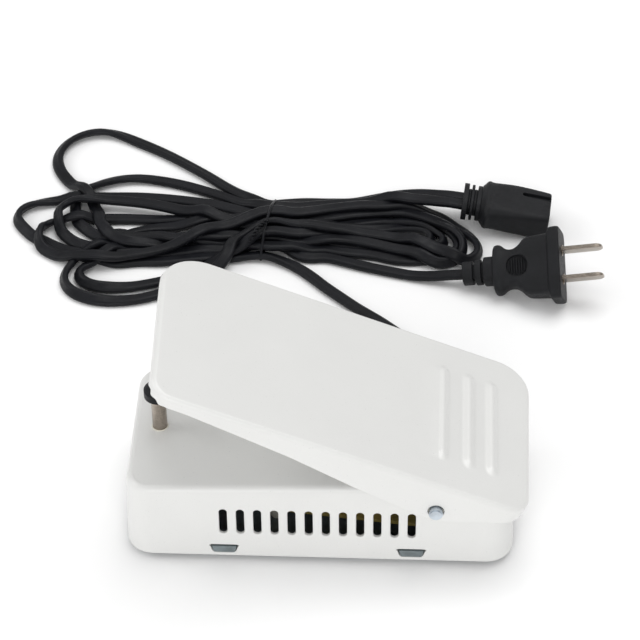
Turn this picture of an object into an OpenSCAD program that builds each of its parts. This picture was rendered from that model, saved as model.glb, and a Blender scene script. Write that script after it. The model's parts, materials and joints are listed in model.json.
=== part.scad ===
// Foot pedal for a household sewing machine: a pressed steel housing with a hinged
// treadle plate over a spring plunger, and its two cords tied in a hank behind it.
// +X points at the hinge end, +Y at the rear wall where the cord leaves, +Z up.
// The origin is on the resting surface, under the middle of the pedal as a whole. The hinge
// end of the treadle overhangs the housing, so the housing's own middle lies at mid_x.

/* [Housing] */
// Length of the housing at its bottom rim
base_l = 150; // [146:1:156]
// Width of the housing at its bottom rim
base_w = 72; // [70:1:74]
// Height of the roof above the rim, at mid-length
base_h = 36.9; // [36:0.1:38]
// Rise of the roof towards the hinge end, as a slope
roof_slope = 0.035; // [0.02:0.005:0.04]
// Thickness of the sheet steel
sheet = 1.2; // [1:0.1:1.4]
// Corner radius of the housing at its rim
base_r = 11; // [9:0.5:13]
// How far the rubber feet stand below the rim
foot_gap = 2.5; // [2:0.1:3]

// Middle of the housing along X
mid_x = -2.9; // [-3.5:0.1:-2.5]

/* [Pedal] */
// Length of the treadle plate
pedal_l = 154; // [150:1:156]
// Outer width of the treadle plate over its side flanges
pedal_w = 80.6; // [80:0.2:82]
// Rest angle of the plate above the horizontal, in degrees
pedal_angle = 23; // [20:0.5:24]
// Height of the plate's top face above the hinge axis, square to the plate
plate_rise = 13; // [12.5:0.1:13.5]
// Corner radius at the free end, on the side that the cord leaves
free_r = 19; // [16:0.5:20]
// Corner radius at the free end, on the side of the vents, where the pressing is squarer
free_r_vents = 10; // [8:0.5:14]
// Corner radius at the hinge end, on the side that the cord leaves
hinge_r = 14; // [12:0.5:16]
// Corner radius at the hinge end, on the side of the vents
hinge_r_vents = 10; // [8:0.5:12]

/* [Hinge] */
// Hinge axis, distance ahead of mid-length
hinge_x = 44.7; // [44:0.1:46]
// Hinge axis, height above the resting surface
hinge_z = 34.3; // [34:0.1:34.6]
// Diameter of the hinge pin
pin_d = 5.2; // [5:0.1:5.4]

/* [Plunger] */
// Plunger axis, distance from mid-length
plunger_x = -63; // [-64:0.5:-62]
// Diameter of the plunger rod
rod_d = 5.8; // [5.6:0.1:6]
// Underside of the plunger head above the resting surface
head_z = 53; // [52.5:0.1:53.5]
// Diameter of the plunger head
head_d = 10.8; // [10:0.2:12]

/* [Vents] */
// Number of vent slots in the front wall
slot_n = 12; // [8:1:12]
// Spacing of the vent slots
slot_pitch = 6.56; // [6.4:0.02:6.6]
// Width of a vent slot
slot_w = 3.1; // [2.6:0.1:3.4]

/* [Cord] */
// Width of the flat two-core cord
cord_w = 5.4; // [5:0.1:5.6]
// Thickness of the flat two-core cord
cord_t = 3.3; // [3:0.1:3.4]
// Height of the tied hank
hank_h = 16; // [14:1:20]

/* [Hidden] */
$fn = 64;

// Housing, worked out from the driving dimensions
draft = 0.04;
roof_z = base_h + foot_gap;
floor_z = foot_gap + 0.5;
plate_z = floor_z + 1;
wall_y = base_w / 2 - draft * (hinge_z - foot_gap);
rear_drop = tan(pedal_angle);
chamfer_z = hinge_z + (plate_rise - sheet - 0.4) / cos(pedal_angle) + hinge_x * rear_drop;
slot_first = -slot_pitch * (slot_n - 1) / 2 - 0.4;
slot_z0 = foot_gap + 11.7;
slot_z1 = foot_gap + 24.4;
window_x = [slot_first, slot_first + slot_pitch * (slot_n - 1)];
window_z0 = foot_gap + 1.5;
window_z1 = foot_gap + 5.8;
lug_x = 60;
lug_y = 24;

// Pedal outline: u runs along the plate from the hinge, w square to it
pedal_u1 = 33.8;
pedal_u0 = pedal_u1 - pedal_l;
flange_side = [[pedal_u0 - 1, 8], [-104, 7.8], [-60.5, 3.1], [-34.6, -1.1], [-10, -4.1],
    [0, -4.8], [4.5, -4.2], [24.6, 4.4], [pedal_u1 + 1, 6.4], [pedal_u1 + 1, 20], [pedal_u0 - 1, 20]];
rib_u = [-3.4, 7.6, 17.2];
rib_l = 50;

// Plunger
bush_z0 = 28.8;
clip_z = 25.8;
fork_z = 27;

// Cord ends
cord_exit = [36 - mid_x, 36, 12];
grommet_l = 24;
board_z = 11;
board_t = 1.6;

// Where the screws of the rheostat bracket and the cord clamp stand
inner_screw_at = [[plunger_x + 25, 0], [48, 9.4], [48, 25.4]];

// Route of the pedal's cord from the grommet to the hank
pedal_cord_route = [[36, 37, 12], [36, 48, 12], [36, 58, 11.4], [36, 66, 9.2], [35.5, 74, 5.8],
    [32.5, 82, 3], [28, 90, 2], [22, 97, 2], [15, 103.5, 2], [7, 110, 2], [-0.5, 117, 2],
    [-8, 124, 2], [-14.5, 131, 2.2], [-20, 138, 2.6], [-26, 145, 3]];
// Route of the mains cord from the hank to the plug
plug_cord_route = [[-22, 146, 3], [-14, 144.5, 2.6], [-5, 142, 2.2], [4, 139.3, 2], [13, 136.8, 2],
    [22, 134.4, 2.2], [31, 132.2, 2.8], [40, 130.6, 3.8], [47, 129.6, 5], [53.3, 129, 6.1]];
// Routes of the two cords that share the connector
link_cord_route = [[-6, 178, 8], [6, 180, 8.4], [18, 181, 9], [30, 180.4, 9.6], [41, 178.4, 10.2],
    [52.5, 175.8, 10.5]];
link_cord_step = [0, -4.6, 0];

// Outer shape of the hank, seen from above
hank_outline = [[-36, 182], [-52, 190], [-67, 203], [-92, 220], [-112, 233], [-128, 230], [-136, 214],
    [-136, 192], [-142, 174], [-152, 168], [-152, 156], [-142, 142], [-130, 132], [-124, 118],
    [-116, 106], [-100, 103], [-82, 107], [-62, 120], [-40, 134], [-2, 136], [28, 136], [52, 134],
    [64, 142], [62, 152], [58, 160], [49, 165], [45, 172], [43, 186], [24, 188], [0, 186], [-22, 180]];
tie_x = -34.5;
tie_w = 1.6;

// Plug and connector, placed by their strain relief ends
plug_at = [52.3, 129, 6.2];
plug_turn = [35, -13, -5];
link_at = [51.5, 173.5, 10.6];
link_turn = [0, 5.5, -5];

// ---- helpers ----
function unit(v) = v / norm(v);
function blend(a, b, c, d, t) = 0.5 * (2 * b + (c - a) * t + (2 * a - 5 * b + 4 * c - d) * t * t
    + (3 * b - a - 3 * c + d) * t * t * t);
function smooth_path(p, n) = [for (i = [0:len(p) - 2]) for (k = [0:n - 1])
    blend(p[max(i - 1, 0)], p[i], p[i + 1], p[min(i + 2, len(p) - 1)], k / n), p[len(p) - 1]];
function heading(p, i) = unit(p[min(i + 1, len(p) - 1)] - p[max(i - 1, 0)]);
function ring(p, i, w, t, n, up) = let (h = heading(p, i), s = unit(cross(h, up)), v = cross(s, h))
    [for (k = [0:n - 1]) p[i] + s * w / 2 * cos(360 * k / n) + v * t / 2 * sin(360 * k / n)];
function coil_path(r, z0, z1, turns, steps) = [for (i = [0:turns * steps])
    [r * cos(360 * i / steps), r * sin(360 * i / steps), z0 + (z1 - z0) * i / (turns * steps)]];

// A cord or wire of oval section along a list of points
module swept(p, w, t, n = 10, up = [0, 0, 1]) {
    last = len(p) - 1;
    polyhedron(
        points = [for (i = [0:last]) each ring(p, i, w, t, n, up)],
        faces = concat([[for (k = [0:n - 1]) k]],
            [for (i = [0:last - 1]) for (k = [0:n - 1])
                [i * n + k, (i + 1) * n + k, (i + 1) * n + (k + 1) % n, i * n + (k + 1) % n]],
            [[for (k = [0:n - 1]) last * n + n - 1 - k]]),
        convexity = 8);
}

// Cylinder along Y between two ordinates
module rod_y(d, y0, y1) {
    translate([0, y0, 0]) rotate([-90, 0, 0]) cylinder(d = d, h = y1 - y0);
}

// Close-wound coil about Y as a sleeve, from its mean radius and wire
module coil_y(r, wire, y0, y1) {
    difference() {
        rod_y(2 * r + wire, y0, y1);
        rod_y(2 * r - wire, y0 - 1, y1 + 1);
    }
}

// Straight round wire between two points
module wire(a, b, d) {
    v = b - a;
    translate(a) rotate([0, acos(v[2] / norm(v)), atan2(v[1], v[0])]) cylinder(d = d, h = norm(v), $fn = 48);
}

// Tapered block of the housing, inset all round
module housing_block(inset, z0, h) {
    hull() for (sx = [-1, 1]) for (sy = [-1, 1])
        translate([sx * (base_l / 2 - base_r), sy * (base_w / 2 - base_r), z0])
            cylinder(r1 = base_r - inset - draft * (z0 - foot_gap),
                r2 = base_r - inset - draft * (z0 - foot_gap + h), h = h, $fn = 48);
}

// Side view of the housing, with its roof lowered and its rear chamfer
module housing_side(drop, z0) {
    half = base_l;
    meet = (chamfer_z - roof_z) / (roof_slope + rear_drop);
    rotate([90, 0, 0]) translate([0, 0, -base_w]) linear_extrude(2 * base_w) polygon([
        [-half, z0], [half, z0], [half, chamfer_z - drop - rear_drop * half],
        [meet, roof_z - drop + roof_slope * meet], [-half, roof_z - drop - roof_slope * half]]);
}

// Rounded slot cut through the front wall
module front_slot(x, z0, z1, w) {
    for (z = [z0 + w / 2, z1 - w / 2])
        translate([x, -base_w / 2 - 2, z]) rotate([-90, 0, 0]) cylinder(d = w, h = 6, $fn = 32);
    translate([x - w / 2, -base_w / 2 - 2, z0 + w / 2]) cube([w, 6, z1 - z0 - w]);
}

// Places its children in the pedal's own frame, at the rest angle
module at_pedal() {
    translate([hinge_x, 0, hinge_z]) rotate([0, pedal_angle, 0]) children();
}

// Flat outline of the pedal, inset all round
module pedal_outline(inset) {
    u0 = pedal_u0 + inset;
    u1 = pedal_u1 - inset;
    v = pedal_w / 2 - inset;
    translate([u0 + free_r, -v]) square([u1 - hinge_r - u0 - free_r, 2 * v]);
    for (s = [-1, 1]) {
        ra = (s < 0 ? free_r_vents : free_r) - inset;
        rb = (s < 0 ? hinge_r_vents : hinge_r) - inset;
        y0 = s < 0 ? ra - v : 0;
        y1 = s < 0 ? rb - v : 0;
        translate([u0 + ra, s * (v - ra)]) circle(r = ra);
        translate([u1 - rb, s * (v - rb)]) circle(r = rb);
        translate([u0, y0]) square([free_r + 1, v - ra]);
        translate([u1 - hinge_r - 1, y1]) square([hinge_r + 1, v - rb]);
        translate([u0 + ra, s < 0 ? -v : 0]) square([free_r + 1 - ra, v]);
        translate([u1 - hinge_r - 1, s < 0 ? -v : 0]) square([hinge_r + 1 - rb, v]);
    }
}

// Stands its children with the housing's middle at mid_x
module stand() {
    translate([mid_x, 0, 0]) children();
}

// ---- housing and what is fixed in it ----
module housing() color("whitesmoke") stand() difference() {
    union() {
        difference() {
            intersection() {
                housing_block(0, foot_gap, 45);
                housing_side(0, foot_gap);
            }
            intersection() {
                housing_block(sheet, foot_gap - 1, 45);
                housing_side(sheet + 0.05, foot_gap - 2);
            }
        }
        // inward lugs that the foot screws bite into
        for (sx = [-1, 1]) for (sy = [-1, 1])
            translate([sx > 0 ? lug_x - 6 : -base_l / 2 + 0.6, sy * lug_y - 6, plate_z + 0.2])
                cube([base_l / 2 - lug_x + 5.4, 12, 1.2]);
    }
    for (i = [0:slot_n - 1]) front_slot(slot_first + i * slot_pitch, slot_z0, slot_z1, slot_w);
    // windows that show the bottom plate's tongues
    for (x = window_x) translate([x, -base_w / 2 + 3, 0]) rotate([90, 0, 0]) linear_extrude(6)
        polygon([[-4.2, window_z0], [4.2, window_z0], [5, window_z0 + 1.6], [5.6, window_z1],
            [-5.6, window_z1], [-5, window_z0 + 1.6]]);
    translate([plunger_x, 0, 20]) cylinder(d = rod_d + 0.8, h = 30);
    translate([hinge_x, 0, hinge_z]) rod_y(pin_d + 0.1, -base_w / 2, base_w / 2);
    translate([cord_exit[0], 25, cord_exit[2]]) rod_y(9, 0, 15);
    translate([hinge_x - 5.2, 30, hinge_z - 10]) rod_y(1.6, 0, 8);
    for (sx = [-1, 1]) for (sy = [-1, 1])
        translate([sx * lug_x, sy * lug_y, plate_z - 1]) cylinder(d = 3.6, h = 4);
}

module bottom_plate() color("silver") stand() difference() {
    union() {
        translate([0, 0, floor_z]) linear_extrude(1) {
            square([base_l - 2 * base_r, base_w - 2 * sheet - 0.8], center = true);
            square([base_l - 2 * sheet - 0.8, base_w - 2 * base_r], center = true);
            for (sx = [-1, 1]) for (sy = [-1, 1])
                translate([sx * (base_l / 2 - base_r), sy * (base_w / 2 - base_r)])
                    circle(r = base_r - sheet - 0.4);
        }
        // tongues turned up into the windows of the front wall
        for (x = window_x) translate([x, -base_w / 2 + 1.95, window_z0 + 0.1]) rotate([90, 0, 0])
            linear_extrude(1.6) polygon([[-4, 0], [4, 0], [4.8, 3.2], [-4.8, 3.2]]);
        for (x = window_x) translate([x - 4, -base_w / 2 + 1.75, floor_z]) cube([8, 1, 5]);
    }
    for (sx = [-1, 1]) for (sy = [-1, 1])
        translate([sx * lug_x, sy * lug_y, floor_z - 1]) cylinder(d = 4, h = 4);
    for (p = inner_screw_at) translate([p[0], p[1], floor_z - 1]) cylinder(d = 3, h = 3, $fn = 32);
}

module rubber_feet() color("dimgray") stand() for (sx = [-1, 1]) for (sy = [-1, 1])
    translate([sx * lug_x, sy * lug_y, 0]) difference() {
        cylinder(d1 = 14, d2 = 16, h = floor_z);
        translate([0, 0, -1]) cylinder(d = 8, h = 2.6);
        translate([0, 0, -1]) cylinder(d = 4, h = 6);
    }

module foot_screws() color("lightgray") stand() for (sx = [-1, 1]) for (sy = [-1, 1])
    translate([sx * lug_x, sy * lug_y, 0]) {
        translate([0, 0, 0.3]) difference() {
            cylinder(d = 7, h = 1.3);
            for (a = [0, 90]) rotate(a) translate([-2, -0.4, -0.1]) cube([4, 0.8, 0.8]);
        }
        translate([0, 0, 1.6]) cylinder(d = 3.5, h = 6.4);
    }

module pivot_pin() color("silver") stand() translate([hinge_x, 0, hinge_z]) difference() {
    union() {
        rod_y(pin_d, -pedal_w / 2 - 1.8, pedal_w / 2 + 1.8);
        for (s = [-1, 1]) translate([0, s * (pedal_w / 2 + 2), 0]) rod_y(pin_d - 0.6, -0.2, 0.2);
    }
    // grooves for the retaining clips
    for (s = [-1, 1]) translate([0, s * (wall_y - sheet - 0.7), 0]) difference() {
        rod_y(pin_d + 1, -0.45, 0.45);
        rod_y(pin_d - 1, -1, 1);
    }
}

module pivot_spacers() color("ivory") stand() translate([hinge_x, 0, hinge_z]) for (s = [-1, 1])
    translate([0, s * (pedal_w / 2 - sheet - 2.2), 0]) difference() {
        rod_y(8.4, -1.9, 1.9);
        rod_y(pin_d + 0.1, -3, 3);
    }

module pin_clips() color("gray") stand() translate([hinge_x, 0, hinge_z]) for (s = [-1, 1])
    translate([0, s * (wall_y - sheet - 0.7), 0]) difference() {
        rod_y(10, -0.4, 0.4);
        rod_y(pin_d - 0.9, -1, 1);
        translate([-1.4, -1, -6]) cube([2.8, 2, 6]);
    }

module pedal_spring() color("silver") stand() translate([hinge_x, 0, hinge_z]) {
    coil_y(5.2, 1.06, 35.3, 37.42);
    translate([-5.65, 35.7, -10.45]) cube([0.9, 0.9, 9.95]);
    translate([-5.65, 33.6, -10.45]) cube([0.9, 3, 0.9]);
}

module guide_bush() color("white") stand() translate([plunger_x, 0, 0]) difference() {
    union() {
        translate([0, 0, bush_z0]) cylinder(d = 10, h = 6.6);
        translate([0, 0, bush_z0 + 6]) cylinder(d = rod_d + 0.7, h = 2.2);
    }
    translate([0, 0, bush_z0 - 1]) cylinder(d = rod_d + 0.1, h = 15);
}

module plunger_spring() color("silver") stand() translate([plunger_x, 0, 0])
    swept(coil_path(4.1, plate_z + 1.1, clip_z - 0.5, 7, 14), 0.8, 0.8, 6);

module spring_seat() color("gainsboro") stand() translate([plunger_x, 0, plate_z]) difference() {
    cylinder(d = 12, h = 1.8);
    translate([0, 0, 0.6]) cylinder(d = 9.8, h = 3);
    translate([0, 0, -1]) cylinder(d = 4, h = 3);
}

module slide_rheostat() color([0.2, 0.2, 0.21]) stand() difference() {
    translate([plunger_x + 11, -6, 6]) cube([8, 12, 27]);
    translate([plunger_x + 10, -1, 11]) cube([4, 2, 20]);
}

module rheostat_bracket() color("silver") stand() difference() {
    union() {
        translate([plunger_x + 19, -8, plate_z]) cube([1, 16, 28]);
        translate([plunger_x + 20, -8, plate_z]) cube([9, 16, 1]);
    }
    translate([plunger_x + 25, 0, plate_z - 1]) cylinder(d = 3.2, h = 3);
}

module circuit_board() color([0.45, 0.40, 0.16]) stand() difference() {
    translate([0, 0, board_z]) linear_extrude(board_t)
        polygon([[-22, -19], [62, -29], [62, 14], [-22, 14]]);
    for (p = board_holes()) translate([p[0], p[1], board_z - 1]) cylinder(d = 3.1, h = 4, $fn = 32);
}

function board_holes() = [[-17, -14], [48, -21], [57, 9.5], [-17, 9.5]];

module board_standoffs() color("ivory") stand() for (p = board_holes())
    translate([p[0], p[1], plate_z]) difference() {
        cylinder(d = 6, h = board_z - plate_z, $fn = 32);
        translate([0, 0, 1]) cylinder(d = 2.6, h = 12, $fn = 32);
    }

module board_screws() color("lightgray") stand() for (p = board_holes())
    translate([p[0], p[1], board_z + board_t]) {
        cylinder(d = 5.2, h = 1.6, $fn = 32);
        translate([0, 0, -5]) cylinder(d = 2.4, h = 5, $fn = 32);
    }

module triac() color([0.15, 0.15, 0.16]) stand() translate([34, 0, board_z + board_t]) {
    translate([-5, -2.2, 4]) cube([10, 4.4, 9]);
    translate([-5, 1, 13]) cube([10, 1.2, 6]);
    for (x = [-2.5, 0, 2.5]) translate([x - 0.4, -0.5, 0]) cube([0.8, 0.6, 4]);
}

module heat_sink() color("gainsboro") stand() translate([34, 2.2, board_z + board_t]) {
    translate([-9, 0, 0]) cube([18, 1.6, 16]);
    for (x = [-9, 7.4]) translate([x, 1.6, 0]) cube([1.6, 7, 16]);
}

module capacitor() color([0.75, 0.55, 0.15]) stand() translate([6, -12, board_z + board_t]) {
    translate([-9, -4, 0.5]) cube([18, 8, 12]);
    for (x = [-7.5, 7.5]) translate([x, 0, -2.6]) cylinder(d = 0.8, h = 3.1, $fn = 16);
}

module choke_core() color([0.35, 0.36, 0.33]) stand() translate([2, 3, board_z + board_t + 3.9])
    rotate_extrude() translate([7, 0]) square([4.4, 6], center = true);

module choke_winding() color([0.72, 0.38, 0.16]) stand() translate([2, 3, board_z + board_t + 3.9])
    for (a = [20:20:340]) rotate(a) translate([7, 0, 0]) rotate([90, 0, 0]) difference() {
        translate([-3, -3.9, -0.5]) cube([6, 7.8, 1]);
        translate([-2.2, -3, -1]) cube([4.4, 6, 2]);
    }

module resistors() color([0.70, 0.58, 0.42]) stand() for (y = [-20, -14, -8])
    translate([24, y - 1, board_z + board_t + 1.6]) {
        translate([-4, 0, 0]) rotate([0, 90, 0]) cylinder(d = 3, h = 8, $fn = 24);
        for (s = [-1, 1]) translate([s * 5.5, 0, -1.6]) cylinder(d = 0.7, h = 1.95, $fn = 16);
        for (s = [-1, 1]) translate([s > 0 ? 4 : -5.85, 0, 0]) rotate([0, 90, 0])
            cylinder(d = 0.7, h = 1.85, $fn = 16);
    }

module terminal_block() color([0.12, 0.30, 0.24]) stand()
    translate([51, -7, board_z + board_t]) difference() {
        translate([-4.5, -8, 0]) cube([9, 16, 9]);
        for (y = [-4, 4]) {
            translate([0, y, 4]) cylinder(d = 4, h = 6, $fn = 32);
            translate([-6, y, 2.6]) rotate([0, 90, 0]) cylinder(d = 2.8, h = 12, $fn = 32);
        }
    }

module terminal_screws() color("gold") stand() translate([51, -7, board_z + board_t]) for (y = [-4, 4])
    translate([0, y, 4.1]) difference() {
        cylinder(d = 3.8, h = 3.6, $fn = 32);
        translate([-2, -0.35, 2.6]) cube([4, 0.7, 2]);
    }

// Three leads from the rheostat to the board
module rheostat_wires() color([0.65, 0.12, 0.10]) stand() for (i = [0:2])
    swept(smooth_path([[-42.9, -4 + 4 * i, 9.5], [-38, -4 + 4 * i, 8.2], [-32, -5 + 3 * i, 10],
        [-27, -6 + 3 * i, 13.2], [-20, -6 + 3 * i, 13.5]], 3), 1.8, 1.8, 6);

// The end of the cord inside the housing, from the grommet to the terminal block
module cord_tail() color([0.08, 0.08, 0.09]) stand()
    swept(smooth_path([[cord_exit[0], 37, 12], [cord_exit[0], 33, 11.8], [38.3, 28, 10], [40, 22.5, 7.2],
        [48, 17, 6.8], [59, 15.5, 7.6], [66, 12, 9], [67.5, 4, 12], [66, -3, 15.4], [60, -7, 16.6],
        [55.5, -7, 16.4]], 2), 5, 3);

module cord_clamp() color("silver") stand() translate([48, 17, plate_z]) difference() {
    union() {
        translate([-4, -10.4, 0]) cube([8, 6.6, 1]);
        translate([-4, 4.6, 0]) cube([8, 6.6, 1]);
        translate([-4, -4.8, 0]) cube([8, 1, 5.6]);
        translate([-4, 4.6, 0]) cube([8, 1, 5.6]);
        translate([-4, -4.8, 4.8]) cube([8, 10.4, 0.8]);
    }
    for (y = [-7.6, 8.4]) translate([0, y, -1]) cylinder(d = 3.1, h = 3, $fn = 32);
}

module bracket_screws() color("lightgray") stand() for (p = inner_screw_at)
    translate([p[0], p[1], plate_z + 1]) {
        cylinder(d = 5, h = 1.6, $fn = 32);
        translate([0, 0, -2]) cylinder(d = 2.9, h = 2, $fn = 32);
    }

module cord_grommet() color([0.07, 0.07, 0.08]) stand()
    translate(cord_exit) rotate([-90, 0, 0]) difference() {
        rotate_extrude() polygon([[0, -3.6], [6, -3.6], [6, -2], [4.3, -2], [4.3, 0.05], [6.4, 0.05],
            [6.4, 1.6], [4.6, 3], [3.6, grommet_l], [0, grommet_l]]);
        translate([0, 0, -5]) cylinder(d = 5.6, h = grommet_l + 10);
    }

// ---- pedal ----
module pedal_plate() color("white") stand() at_pedal() difference() {
    union() {
        intersection() {
            difference() {
                translate([0, 0, -12]) linear_extrude(plate_rise + 12) pedal_outline(0);
                translate([0, 0, -13]) linear_extrude(plate_rise + 13 - sheet) pedal_outline(sheet);
            }
            rotate([90, 0, 0]) translate([0, 0, -pedal_w]) linear_extrude(2 * pedal_w) polygon(flange_side);
        }
        // raised tread ribs
        for (u = rib_u) translate([u, 0, plate_rise]) intersection() {
            translate([-2, -rib_l / 2, -0.2]) cube([4, rib_l, 1]);
            translate([0, 0, -2.2]) rod_y(6, -rib_l / 2, rib_l / 2);
        }
    }
    rod_y(pin_d + 0.06, -pedal_w, pedal_w);
    for (s = [-1, 1]) translate([0, s * pedal_w / 2, 0]) rod_y(6.4, -0.6, 0.6);
}

// The free leg of the hinge spring, which turns with the pedal
module pedal_spring_leg() color("silver") stand() at_pedal() {
    coil_y(5.2, 1.06, 37.5, 38.6);
    wire([-1, 38.05, 5], [-24, 38.05, plate_rise - sheet - 0.6], 1);
}

// ---- plunger ----
module plunger_rod() color([0.72, 0.68, 0.62]) stand() translate([plunger_x, 0, 0]) difference() {
    union() {
        translate([0, 0, 21]) cylinder(d = rod_d, h = head_z + 3 - 21);
        translate([0, 0, 20]) cylinder(d1 = rod_d - 1.6, d2 = rod_d, h = 1);
    }
    translate([0, 0, clip_z - 0.05]) difference() {
        cylinder(d = rod_d + 2, h = 1.1);
        cylinder(d = rod_d - 1.4, h = 3, center = true);
    }
}

module plunger_head() color([0.08, 0.08, 0.08]) stand() translate([plunger_x, 0, head_z]) difference() {
    union() {
        cylinder(d = head_d, h = 2.4);
        translate([0, 0, 2.4]) intersection() {
            translate([0, 0, -4.95]) sphere(d = 15.6);
            cylinder(d = head_d, h = 5);
        }
    }
    translate([0, 0, -1]) cylinder(d = rod_d, h = 4);
}

module plunger_clip() color("gray") stand() translate([plunger_x, 0, clip_z]) difference() {
    cylinder(d = 11, h = 1);
    translate([0, 0, -1]) cylinder(d = rod_d - 1.3, h = 3);
    translate([-7, -1.6, -1]) cube([7, 3.2, 3]);
}

module rheostat_fork() color("ivory") stand() translate([plunger_x, 0, fork_z]) difference() {
    union() {
        cylinder(d = 9.6, h = 1.6);
        translate([3, -2.5, 0]) cube([7.4, 5, 1.6]);
        translate([10, -0.7, 0]) cube([3.4, 1.4, 1.6]);
    }
    translate([0, 0, -1]) cylinder(d = rod_d, h = 4);
}

// ---- cords, hank, connector and plug ----
module pedal_cord() color([0.05, 0.05, 0.06]) swept(smooth_path(pedal_cord_route, 2), cord_w, cord_t);

module plug_cord() color([0.05, 0.05, 0.06]) swept(smooth_path(plug_cord_route, 2), cord_w, cord_t);

module connector_cords() color([0.05, 0.05, 0.06]) for (i = [0, 1])
    translate(i * link_cord_step) swept(smooth_path(link_cord_route, 2), cord_t + 1, cord_w - 1, 8);

// The slot that the tie sits in, round the waist of the hank
module tie_slot(grow) {
    translate([tie_x - tie_w / 2, 120, -1]) difference() {
        cube([tie_w, 80, hank_h + 2]);
        translate([-1, 20.5 + grow, 2 + grow]) cube([tie_w + 2, 34 - 2 * grow, hank_h - 2.5 - 2 * grow]);
    }
}

module cord_hank() color([0.09, 0.09, 0.10]) difference() {
    linear_extrude(hank_h) offset(r = 6, $fn = 24) offset(delta = -6) polygon(hank_outline);
    tie_slot(0);
}

module wire_tie() color([0.02, 0.02, 0.02]) difference() {
    translate([tie_x - tie_w / 2, 139, 0]) cube([tie_w, 37, hank_h]);
    translate([tie_x - tie_w, 140.5, 1]) cube([2 * tie_w, 34, hank_h - 2.5]);
}

module at_plug() {
    translate(plug_at) rotate([0, 0, plug_turn[2]]) rotate([0, plug_turn[1], 0]) rotate([plug_turn[0], 0, 0])
        children();
}

module at_connector() {
    translate(link_at) rotate(link_turn) children();
}

// Oval disc across X
module oval_x(x, len, w, t) {
    hull() for (s = [-1, 1]) translate([x, s * (w - t) / 2, 0]) rotate([0, 90, 0])
        cylinder(d = t, h = len, $fn = 32);
}

module connector_strain_relief() color([0.06, 0.06, 0.07]) at_connector() {
    oval_x(0, 3.4, 18, 12);
    oval_x(3.4, 1.4, 14, 8);
    oval_x(4.8, 2.4, 17, 12);
    oval_x(7.2, 1.4, 13, 8);
}

module connector_body() color([0.06, 0.06, 0.07]) at_connector() difference() {
    union() {
        oval_x(8.6, 4.4, 22, 13.4);
        hull() {
            oval_x(13, 2, 23, 13.6);
            translate([37, -11, -6.6]) cube([2, 22, 13.2]);
        }
    }
    // key groove in the top face and the two contact holes in the front face
    translate([26, 2, 5.6]) cube([14, 4, 3]);
    for (y = [-5, 5]) translate([26, y, 0]) rotate([0, 90, 0]) cylinder(d = 4.4, h = 15, $fn = 32);
}

module connector_contacts() color("gold") at_connector() for (y = [-5, 5])
    translate([26, y, 0]) rotate([0, 90, 0]) difference() {
        cylinder(d = 4.4, h = 11, $fn = 32);
        translate([0, 0, 1]) cylinder(d = 3.4, h = 12, $fn = 32);
    }

module plug_strain_relief() color([0.06, 0.06, 0.07]) at_plug() {
    oval_x(0, 4.4, 12, 9.6);
    oval_x(4.4, 1, 9.4, 7);
    oval_x(5.4, 3, 12.4, 10);
    oval_x(8.4, 1.2, 10, 8);
    oval_x(9.6, 4.4, 14, 11);
}

module plug_body() color([0.06, 0.06, 0.07]) at_plug() difference() {
    union() {
        oval_x(14, 4.4, 22.4, 13);
        oval_x(18.4, 6.2, 17, 12);
        hull() {
            oval_x(22.6, 1, 17, 12);
            translate([28, -12.8, -6.6]) cube([10, 25.6, 13.2]);
        }
        hull() {
            translate([37, -13.6, -7.2]) cube([1, 27.2, 14.4]);
            translate([39.6, -16.2, -8.2]) cube([3.8, 32.4, 16.4]);
        }
    }
    for (s = [-1, 1]) translate([34, s * 6.35 - 0.8, -3.2]) cube([12, 1.6, 6.4]);
}

module plug_blades() color("silver") at_plug() for (s = [-1, 1])
    translate([34, s * 6.35 - 0.75, -3.15]) cube([9.4 + 17.4, 1.5, 6.3]);

housing();
bottom_plate();
rubber_feet();
foot_screws();
pivot_pin();
pivot_spacers();
pin_clips();
pedal_spring();
guide_bush();
plunger_spring();
spring_seat();
slide_rheostat();
rheostat_bracket();
circuit_board();
board_standoffs();
board_screws();
triac();
heat_sink();
capacitor();
choke_core();
choke_winding();
resistors();
terminal_block();
terminal_screws();
rheostat_wires();
cord_tail();
cord_clamp();
bracket_screws();
cord_grommet();
pedal_plate();
pedal_spring_leg();
plunger_rod();
plunger_head();
plunger_clip();
rheostat_fork();
pedal_cord();
plug_cord();
connector_cords();
cord_hank();
wire_tie();
connector_strain_relief();
connector_body();
connector_contacts();
plug_strain_relief();
plug_body();
plug_blades();
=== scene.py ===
import json
import math

import bpy
import bmesh
import numpy as np
from mathutils import Matrix, Vector
from mathutils.geometry import delaunay_2d_cdt


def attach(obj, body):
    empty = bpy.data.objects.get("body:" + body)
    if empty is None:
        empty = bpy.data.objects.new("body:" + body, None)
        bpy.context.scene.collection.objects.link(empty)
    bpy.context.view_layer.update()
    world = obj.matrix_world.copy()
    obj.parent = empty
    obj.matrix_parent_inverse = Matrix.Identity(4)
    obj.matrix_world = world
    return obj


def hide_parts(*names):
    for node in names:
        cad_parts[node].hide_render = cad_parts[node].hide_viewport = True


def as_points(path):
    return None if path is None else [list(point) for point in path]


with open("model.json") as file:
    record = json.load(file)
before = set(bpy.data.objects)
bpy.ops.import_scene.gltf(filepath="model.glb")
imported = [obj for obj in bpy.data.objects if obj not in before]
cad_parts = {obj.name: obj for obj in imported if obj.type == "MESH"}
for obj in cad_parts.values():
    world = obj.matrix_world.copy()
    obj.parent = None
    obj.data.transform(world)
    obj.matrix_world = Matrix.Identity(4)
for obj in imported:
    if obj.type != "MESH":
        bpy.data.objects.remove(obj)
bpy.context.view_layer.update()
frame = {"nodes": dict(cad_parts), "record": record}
MM = 0.001
MID = -2.9          # the housing's middle along X, mm
UP = np.array([0.0, 0.0, 1.0])


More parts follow.
